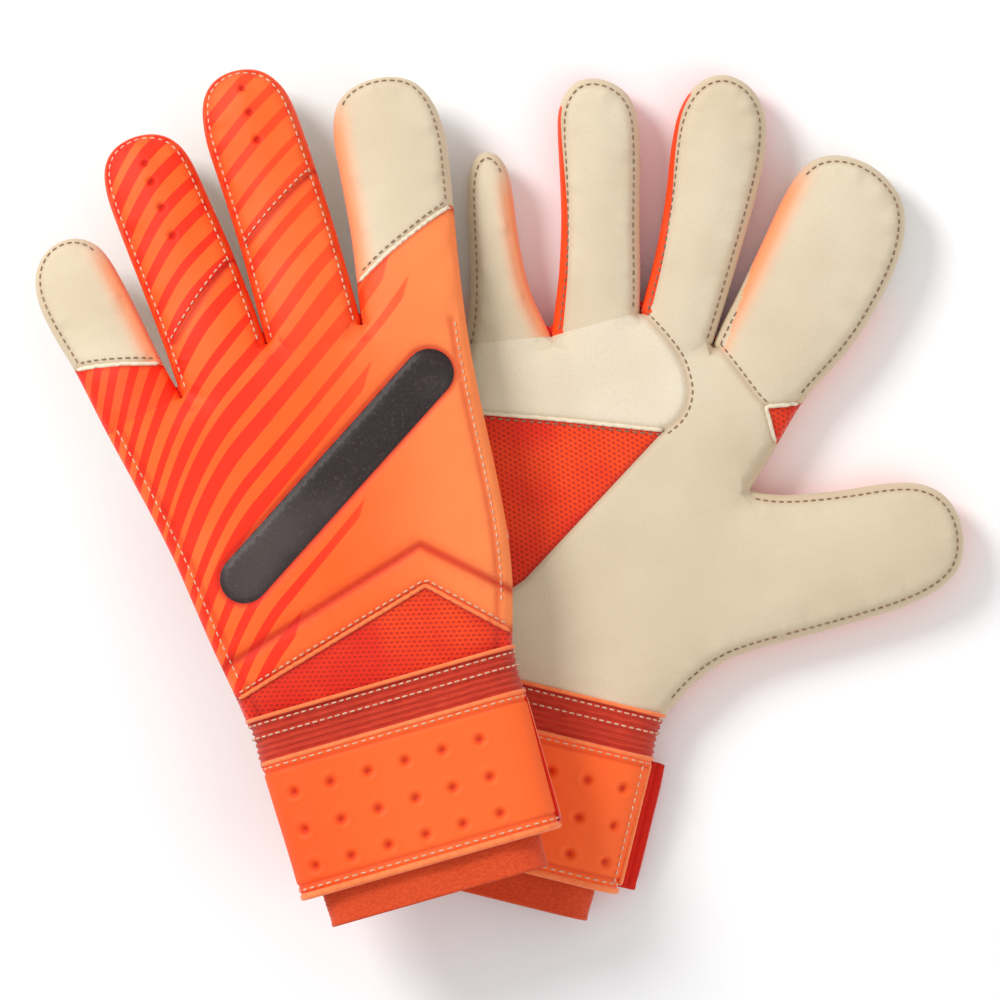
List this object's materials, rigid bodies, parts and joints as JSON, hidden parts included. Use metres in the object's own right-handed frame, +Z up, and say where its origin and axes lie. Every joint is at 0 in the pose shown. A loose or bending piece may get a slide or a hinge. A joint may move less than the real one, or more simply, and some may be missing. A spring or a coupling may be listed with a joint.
{
  "type": "goalkeeper gloves",
  "caption": "Pair of goalkeeper gloves with latex palms, rolled fingertips, moulded orange backs and dimpled wrist straps, the left lying over the right.",
  "frame": {"origin": "centre of the pair's footprint, on the surface that the right glove lies on", "axes": "+Z up from the surface, +Y towards the fingertips, +X towards the right glove's thumb"},
  "size_m": [0.3166, 0.2923, 0.0529],
  "materials": {
    "latex_cream": "matte fine-grained latex foam",
    "foam_orange": "satin moulded foam with diagonal bars",
    "foam_red": "satin foam, deeper red orange",
    "mesh_orange": "perforated mesh over a darker ground",
    "accent_dark": "matte moulded band",
    "lining": "soft brushed cloth",
    "elastic_red": "ribbed elastic",
    "sleeve_orange": "knitted sleeve",
    "strap_orange": "satin foam with round dimples",
    "hook_loop": "hook and loop",
    "tab_red": "woven tab"
  },
  "bodies": {
    "right_hand": {"right_palm_latex": "latex_cream", "right_palm_patch": "latex_cream", "right_palm_mesh": "mesh_orange", "right_backhand": "foam_orange", "right_accent_band": "accent_dark", "right_chevron_pad": "foam_orange", "right_wrist_mesh": "mesh_orange", "right_hand_lining": "lining", "right_wrist_elastic": "elastic_red", "right_cuff_sleeve": "sleeve_orange", "right_strap_wrap": "strap_orange", "right_loop_patch": "hook_loop"},
    "right_index": {"right_index_roll": "latex_cream", "right_index_back": "foam_orange"},
    "right_middle": {"right_middle_palm": "latex_cream", "right_middle_back": "foam_orange", "right_middle_sides": "foam_red"},
    "right_ring": {"right_ring_palm": "latex_cream", "right_ring_back": "foam_red", "right_ring_sides": "foam_red"},
    "right_pinky": {"right_pinky_roll": "latex_cream", "right_pinky_back": "foam_red"},
    "right_thumb": {"right_thumb_latex": "latex_cream", "right_thumb_back": "foam_orange"},
    "right_flap": {"right_strap_flap": "strap_orange", "right_hook_patch": "hook_loop", "right_pull_tab": "tab_red"},
    "left_hand": {"left_palm_latex": "latex_cream", "left_palm_patch": "latex_cream", "left_palm_mesh": "mesh_orange", "left_backhand": "foam_orange", "left_accent_band": "accent_dark", "left_chevron_pad": "foam_orange", "left_wrist_mesh": "mesh_orange", "left_hand_lining": "lining", "left_wrist_elastic": "elastic_red", "left_cuff_sleeve": "sleeve_orange", "left_strap_wrap": "strap_orange", "left_loop_patch": "hook_loop"},
    "left_index": {"left_index_roll": "latex_cream", "left_index_back": "foam_orange"},
    "left_middle": {"left_middle_palm": "latex_cream", "left_middle_back": "foam_orange", "left_middle_sides": "foam_red"},
    "left_ring": {"left_ring_palm": "latex_cream", "left_ring_back": "foam_red", "left_ring_sides": "foam_red"},
    "left_pinky": {"left_pinky_roll": "latex_cream", "left_pinky_back": "foam_red"},
    "left_thumb": {"left_thumb_latex": "latex_cream", "left_thumb_back": "foam_orange"},
    "left_flap": {"left_strap_flap": "strap_orange", "left_hook_patch": "hook_loop", "left_pull_tab": "tab_red"}
  },
  "joints": [
    {"name": "right_index_flex", "type": "hinge", "parent": "right_hand", "child": "right_index", "pos_m": [0.09007, 0.04021, 0.02], "axis": [0.9003, -0.4352, 0], "range_deg": [0, 65], "stiffness_Nm_per_rad": 0.5},
    {"name": "right_middle_flex", "type": "hinge", "parent": "right_hand", "child": "right_middle", "pos_m": [0.06301, 0.05664, 0.02], "axis": [0.9806, -0.1959, 0], "range_deg": [0, 65], "stiffness_Nm_per_rad": 0.5},
    {"name": "right_ring_flex", "type": "hinge", "parent": "right_hand", "child": "right_ring", "pos_m": [0.03441, 0.05759, 0.02], "axis": [1, -0.0052, 0], "range_deg": [0, 65], "stiffness_Nm_per_rad": 0.5},
    {"name": "right_pinky_flex", "type": "hinge", "parent": "right_hand", "child": "right_pinky", "pos_m": [0.003, 0.05047, 0.02], "axis": [0.991, 0.134, 0], "range_deg": [0, 65], "stiffness_Nm_per_rad": 0.5},
    {"name": "left_index_flex", "type": "hinge", "parent": "left_hand", "child": "left_index", "pos_m": [-0.02754, 0.05554, 0.0238], "axis": [-0.9946, -0.103, -0.0091], "range_deg": [0, 65], "stiffness_Nm_per_rad": 0.5},
    {"name": "left_middle_flex", "type": "hinge", "parent": "left_hand", "child": "left_middle", "pos_m": [-0.06135, 0.05234, 0.02347], "axis": [-0.9617, -0.274, 0], "range_deg": [0, 65], "stiffness_Nm_per_rad": 0.5},
    {"name": "left_ring_flex", "type": "hinge", "parent": "left_hand", "child": "left_ring", "pos_m": [-0.0918, 0.04024, 0.02364], "axis": [-0.9385, -0.3452, 0.0039], "range_deg": [0, 65], "stiffness_Nm_per_rad": 0.5},
    {"name": "left_pinky_flex", "type": "hinge", "parent": "left_hand", "child": "left_pinky", "pos_m": [-0.11891, 0.02442, 0.02405], "axis": [-0.8919, -0.4522, 0.01], "range_deg": [0, 65], "stiffness_Nm_per_rad": 0.5},
    {"name": "right_thumb_fold", "type": "hinge", "parent": "right_hand", "child": "right_thumb", "pos_m": [0.09092, -0.02508, 0.02], "axis": [0.1942, -0.981, 0], "range_deg": [0, 75], "stiffness_Nm_per_rad": 0.5},
    {"name": "right_strap_open", "type": "hinge", "parent": "right_hand", "child": "right_flap", "pos_m": [-0.0407, -0.0914, 0.0027], "axis": [0.2385, 0.9711, 0], "range_deg": [0, 130]},
    {"name": "left_strap_open", "type": "hinge", "parent": "left_hand", "child": "left_flap", "pos_m": [-0.07185, -0.11304, 0.04898], "axis": [0.2736, -0.9604, 0.0523], "range_deg": [0, 130]},
    {"name": "left_glove_lift", "type": "slide", "parent": "right_hand", "child": "left_hand", "axis": [0, 0, 1], "range_m": [0, 0.15]},
    {"name": "left_thumb_unfold", "type": "hinge", "parent": "left_hand", "child": "left_thumb", "pos_m": [-0.00151, 0.00361, 0.02579], "axis": [0.2736, -0.9604, 0.0523], "range_deg": [0, 50]}
  ],
  "couplings": [
    {"joint": "left_thumb_unfold", "follows": "left_glove_lift", "rad_per_m": 5.8178}
  ]
}
